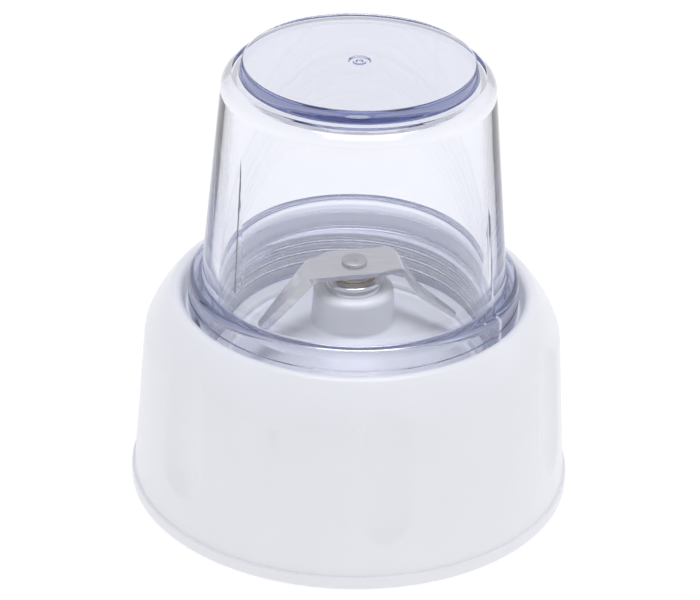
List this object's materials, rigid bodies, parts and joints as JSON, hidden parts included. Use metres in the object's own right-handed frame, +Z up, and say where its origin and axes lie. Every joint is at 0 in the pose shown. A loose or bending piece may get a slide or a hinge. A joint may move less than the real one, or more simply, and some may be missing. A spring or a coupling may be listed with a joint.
{
  "type": "blender dry-mill attachment",
  "caption": "Dry-mill attachment for a countertop blender: clear cup screwed upside down into a round white blade base with a spinning two-wing cutter.",
  "frame": {"origin": "centre of the plane that the foot rim stands on", "axes": "+Z up along the cutter shaft and the cup; -Y is the front"},
  "size_m": [0.124, 0.124, 0.1286],
  "materials": {
    "white_plastic": "smooth satin moulding",
    "clear_plastic": "clear polished moulding",
    "stainless": "fine brushed",
    "polished_steel": "polished",
    "plain_steel": "turned",
    "bronze": "sintered",
    "silicone": "matt translucent",
    "black_rubber": "matt",
    "nylon": "matt",
    "felt": "oiled felt"
  },
  "bodies": {
    "base": {"skirt_shell": "white_plastic", "mill_bowl": "white_plastic", "lock_ring": "white_plastic", "housing_screws": "plain_steel", "lock_ring_screws": "plain_steel", "bearing_sleeve": "plain_steel", "sleeve_seal": "black_rubber", "bearing_cap": "polished_steel", "upper_bush": "bronze", "lower_bush": "bronze", "oil_felt": "felt", "shaft_seal": "black_rubber", "nut_washer": "plain_steel", "bearing_nut": "plain_steel"},
    "gasket": {"cup_gasket": "silicone"},
    "cup": {"mill_cup": "clear_plastic"},
    "cutter": {"drive_shaft": "stainless", "cutter_blade": "stainless", "blade_spacer": "plain_steel", "upper_thrust_washer": "nylon", "lower_thrust_washer": "nylon", "shaft_circlip": "plain_steel", "drive_coupling": "black_rubber", "coupling_insert": "plain_steel", "coupling_washer": "plain_steel", "coupling_screw": "plain_steel"}
  },
  "joints": [
    {"name": "cutter_spin", "type": "hinge", "parent": "base", "child": "cutter", "pos_m": [0, 0, 0], "axis": [0, 0, 1], "continuous": true},
    {"name": "cup_lift", "type": "slide", "parent": "base", "child": "gasket", "axis": [0, 0, 1], "range_m": [0, 0.0112]},
    {"name": "cup_turn", "type": "hinge", "parent": "gasket", "child": "cup", "pos_m": [0, 0, 0], "axis": [0, 0, 1], "range_deg": [0, 648]}
  ],
  "couplings": [
    {"joint": "cup_lift", "follows": "cup_turn", "m_per_rad": 0.00098676}
  ]
}
